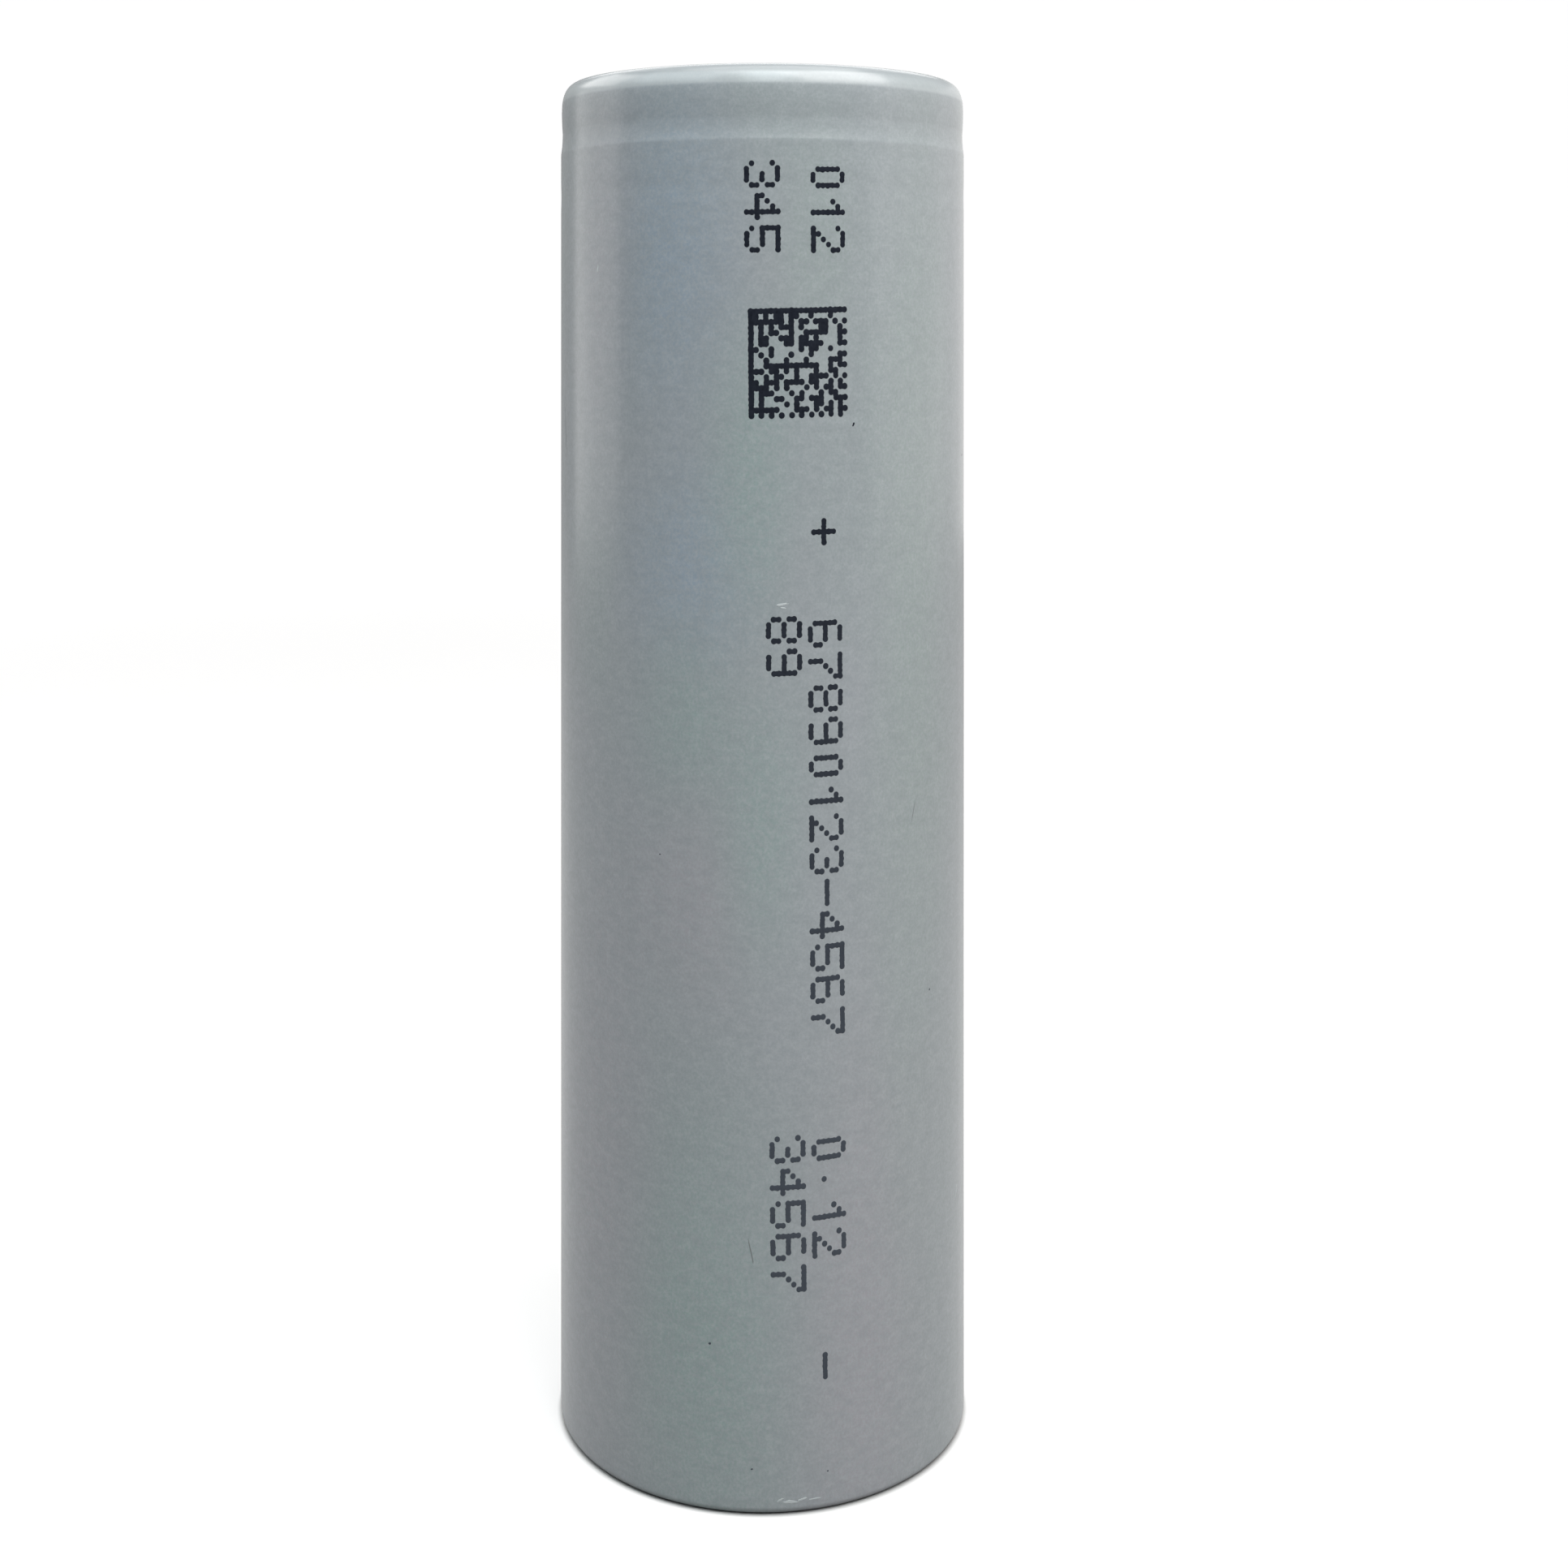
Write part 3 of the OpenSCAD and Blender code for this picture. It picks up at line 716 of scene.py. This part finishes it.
def build_cap():
    flange_top = CAP_LOW + CAP_T
    inner_r = CONTACT_R - CAP_T
    under = CAP_TOP - CAP_T
    top = [(0.0, CAP_TOP)] + line((0.0, CAP_TOP), (CONTACT_R - CONTACT_EDGE_R, CAP_TOP), 12)
    top += arc((CONTACT_R - CONTACT_EDGE_R, CAP_TOP - CONTACT_EDGE_R), CONTACT_EDGE_R, 90, 0, 12)
    top += arc((CONTACT_R + RISER_FILLET, flange_top + RISER_FILLET), RISER_FILLET, 180, 270, 8)
    edge_r = FLANGE_R - FLANGE_EDGE_R
    top += line((CONTACT_R + RISER_FILLET, flange_top), (edge_r, flange_top), 12)
    top += arc((edge_r, flange_top - FLANGE_EDGE_R), FLANGE_EDGE_R, 90, 0, 5)
    top += arc((edge_r, CAP_LOW + FLANGE_EDGE_R), FLANGE_EDGE_R, 0, -90, 5)
    fillet_r = inner_r + UNDER_FILLET
    below = [(fillet_r, CAP_LOW)] + arc((fillet_r, CAP_LOW + UNDER_FILLET), UNDER_FILLET, 270, 180, 6)
    corner = UNDER_CORNER_R
    below += arc((inner_r - corner, under - corner), corner, 0, 90, 6) + [(0.0, under)]
    piece = revolve("contact_cap", top + below, cap_nickel, segments=METAL_SEGMENTS)
    middle = flange_top + WINDOW_LIFT + WINDOW_H / 2
    for k in range(WINDOWS):
        cut_window(piece, math.radians(45 + 360 * k / WINDOWS), middle)
    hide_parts("positive_cap")


def cut_window(piece, angle, height):
    """Cuts one rounded gas window through the cap's riser."""
    bpy.ops.mesh.primitive_cube_add(size=1)
    cutter = bpy.context.object
    cutter.scale = (CUTTER_LONG * MM, WINDOW_W * MM, WINDOW_H * MM)
    across = CONTACT_R * MM
    cutter.location = (across * math.cos(angle), across * math.sin(angle), height * MM)
    cutter.rotation_euler = (0, 0, angle)
    bpy.ops.object.transform_apply(location=False, rotation=False, scale=True)
    rounding = cutter.modifiers.new("round", "BEVEL")
    rounding.width, rounding.segments = WINDOW_CORNER_R * MM, 4
    cutting = piece.modifiers.new("window", "BOOLEAN")
    cutting.operation, cutting.solver, cutting.object = "DIFFERENCE", "EXACT", cutter
    bpy.context.view_layer.update()
    evaluated = piece.evaluated_get(bpy.context.evaluated_depsgraph_get())
    piece.data = bpy.data.meshes.new_from_object(evaluated)
    piece.modifiers.clear()
    bpy.data.objects.remove(cutter)


build_film()
build_print()
build_marks("dark_specks", DARK_SPECKS, ink, 61)
scuff = plastic_look("scuff", (0.4, 0.43, 0.44), 0.55, (0.34, 0.37, 0.38))
scratch = plastic_look("scratch", (0.12, 0.13, 0.135), 0.5, (0.17, 0.18, 0.185))
build_marks("pale_scuffs", PALE_SCUFFS, scuff, 62)
build_marks("fine_scratches", SCRATCHES, scratch, 63)
build_can()
build_washer()
build_cap()


# ---------------------------------------------------------------- stage, lights and camera
def by_ray(nodes, links, ray, value, other):
    """Picks value for one kind of ray and other for the rest. Both may be numbers or sockets."""
    path = nodes.new("ShaderNodeLightPath")
    choice = nodes.new("ShaderNodeMix")
    for port, entry in (("A", other), ("B", value)):
        if isinstance(entry, float):
            choice.inputs[port].default_value = entry
        else:
            links.new(entry, choice.inputs[port])
    links.new(path.outputs[ray], choice.inputs["Factor"])
    return choice.outputs["Result"]


# millimetres from the cell's axis between which the floor's glow sets in; nearer the axis the glow is held
# off, a painted contact shadow
CONTACT_SHADOW = (10.55, 10.95)
# lengths of the sweep and of its glow in metres
SWEEP_HALF_WIDE = 1.6
SWEEP_FRONT, BEND_START, BEND_R = -1.2, 0.5, 0.5
SWEEP_DROP = 0.00002
GLOW_REACH = (0.05, 0.5)
# strength of the glow at both ends of its reach, and as the film mirrors it
GLOW_NEAR, GLOW_FAR = 0.55, 0.97
GLOW_MIRRORED = 0.38
# grey of the paper to the camera and to the light that it sends back
GREY_SEEN, GREY_LIT = 0.4, 0.25
AMBIENT = 0.05


def build_sweep():
    """Pale floor that curves up into a wall behind the cell."""
    section = [(SWEEP_FRONT, 0.0)] + [(y, 0.0) for y in np.linspace(-1.0, BEND_START, 7)]
    section += [
        (BEND_START + BEND_R * math.sin(t), BEND_R - BEND_R * math.cos(t))
        for t in np.linspace(0.1, math.pi / 2, 16)
    ]
    section += [(BEND_START + BEND_R, 0.9), (BEND_START + BEND_R, 1.6)]
    verts = [(x, y, z - SWEEP_DROP) for x in (-SWEEP_HALF_WIDE, SWEEP_HALF_WIDE) for y, z in section]
    count = len(section)
    faces = [(i, count + i, count + i + 1, i + 1) for i in range(count - 1)]
    mesh = bpy.data.meshes.new("sweep")
    mesh.from_pydata(verts, [], faces)
    paper = Look("sweep_paper", (0.35, 0.35, 0.355), 0.9)
    away = paper.length(paper.place)
    # painted contact shadow: no glow in a narrow ring round the cell's foot
    outside_painted_shadow = paper.ramp(away, CONTACT_SHADOW[0] * MM, CONTACT_SHADOW[1] * MM, 0.0, 1.0)
    glow = paper.ramp(away, *GLOW_REACH, GLOW_NEAR, GLOW_FAR)
    seen = by_ray(paper.nodes, paper.links, "Is Camera Ray", glow, 0.0)
    mirrored = by_ray(paper.nodes, paper.links, "Is Glossy Ray", GLOW_MIRRORED, seen)
    strength = paper.nodes.new("ShaderNodeMath")
    strength.operation = "MULTIPLY"
    paper.links.new(mirrored, strength.inputs[0])
    paper.links.new(outside_painted_shadow, strength.inputs[1])
    shade = by_ray(paper.nodes, paper.links, "Is Camera Ray", GREY_SEEN, GREY_LIT)
    paper.links.new(shade, paper.shader.inputs["Base Color"])
    paper.material.cycles.emission_sampling = "NONE"
    paper.shader.inputs["Emission Color"].default_value = (1.0, 1.0, 1.0, 1.0)
    paper.links.new(strength.outputs["Value"], paper.shader.inputs["Emission Strength"])
    mesh.materials.append(paper.material)
    mesh.polygons.foreach_set("use_smooth", [True] * len(mesh.polygons))
    sweep = bpy.data.objects.new("sweep", mesh)
    bpy.context.scene.collection.objects.link(sweep)


NEUTRAL = (1.0, 0.98, 0.96)
COOL = (0.92, 1.0, 1.02)
AIM_HEIGHT = 0.05
# name, azimuth, distance, height and size in metres, power in watts, colour;
# azimuth 0 is the camera's side and 90 is the right
LIGHTS = [
    ("left_panel", -108, 0.42, 0.09, (0.34, 0.22), 0.32, NEUTRAL),
    ("right_panel", 92, 0.42, 0.085, (0.5, 0.24), 0.36, NEUTRAL),
    ("back_panel", 148, 0.42, 0.095, (0.4, 0.22), 0.16, NEUTRAL),
    ("left_lamp", -112, 0.15, 0.165, (0.12, 0.08), 0.105, NEUTRAL),
    ("front_left_lamp", -55, 0.15, 0.2, (0.17, 0.12), 0.16, COOL),
    ("front_right_lamp", 50, 0.15, 0.2, (0.18, 0.13), 0.5, NEUTRAL),
    ("front_low_strip", 3, 0.17, 0.165, (0.07, 0.05), 0.05, COOL),
    ("front_high_strip", 3, 0.13, 0.215, (0.08, 0.08), 0.13, COOL),
    ("top_box", 20, 0.05, 0.26, (0.22, 0.16), 0.28, NEUTRAL),
    ("back_lamp", 180, 0.15, 0.2, (0.2, 0.08), 0.1, NEUTRAL),
    ("overhead", 180, 0.1, 0.4, (0.4, 0.3), 0.3, NEUTRAL),
]


def soft_light(name, azimuth, distance, height, size, power, color):
    """A rectangular light beside or above the cell, turned to it."""
    turn = math.radians(azimuth)
    place = Vector((distance * math.sin(turn), -distance * math.cos(turn), height))
    data = bpy.data.lights.new(name, "AREA")
    data.shape = "RECTANGLE"
    data.size, data.size_y = size
    data.energy = power
    data.color = color
    light = bpy.data.objects.new(name, data)
    light.location = place
    light.rotation_euler = (Vector((0.0, 0.0, AIM_HEIGHT)) - place).to_track_quat("-Z", "Y").to_euler()
    bpy.context.scene.collection.objects.link(light)


build_sweep()
for entry in LIGHTS:
    soft_light(*entry)
world = bpy.data.worlds.new("surroundings")
world.use_nodes = True
backdrop = world.node_tree.nodes["Background"]
backdrop.inputs["Color"].default_value = (1.0, 1.0, 1.0, 1.0)
world_links = world.node_tree.links
brightness = by_ray(world.node_tree.nodes, world_links, "Is Camera Ray", 1.0, AMBIENT)
world_links.new(brightness, backdrop.inputs["Strength"])
bpy.context.scene.world = world

CAMERA_PLACE = (0.0, -0.10745, 0.05735)
LENS_SHIFT = (0.0137, -0.2937)
LENS = 46.19
camera_data = bpy.data.cameras.new("camera")
camera_data.sensor_width = 36.0
camera_data.lens = LENS
camera_data.clip_start = 0.01
camera = bpy.data.objects.new("camera", camera_data)
camera.location = CAMERA_PLACE
camera.rotation_euler = (math.pi / 2, 0.0, 0.0)
bpy.context.scene.collection.objects.link(camera)
bpy.context.scene.camera = camera


def shift_only_here(path, amount):
    """Drives the lens shift so it holds at the main view and is zero wherever else the camera is moved."""
    driver = camera_data.driver_add(path).driver
    driver.type = "SCRIPTED"
    for letter, axis in (("x", "LOC_X"), ("y", "LOC_Y")):
        variable = driver.variables.new()
        variable.name = letter
        variable.type = "TRANSFORMS"
        variable.targets[0].id = camera
        variable.targets[0].transform_type = axis
        variable.targets[0].transform_space = "WORLD_SPACE"
    driver.expression = f"{amount} if abs(x) < 1e-5 and abs(y + {-CAMERA_PLACE[1]}) < 1e-5 else 0.0"


shift_only_here("shift_x", LENS_SHIFT[0])
shift_only_here("shift_y", LENS_SHIFT[1])

bpy.context.scene.view_settings.view_transform = "Standard"
bpy.context.scene.view_settings.look = "None"
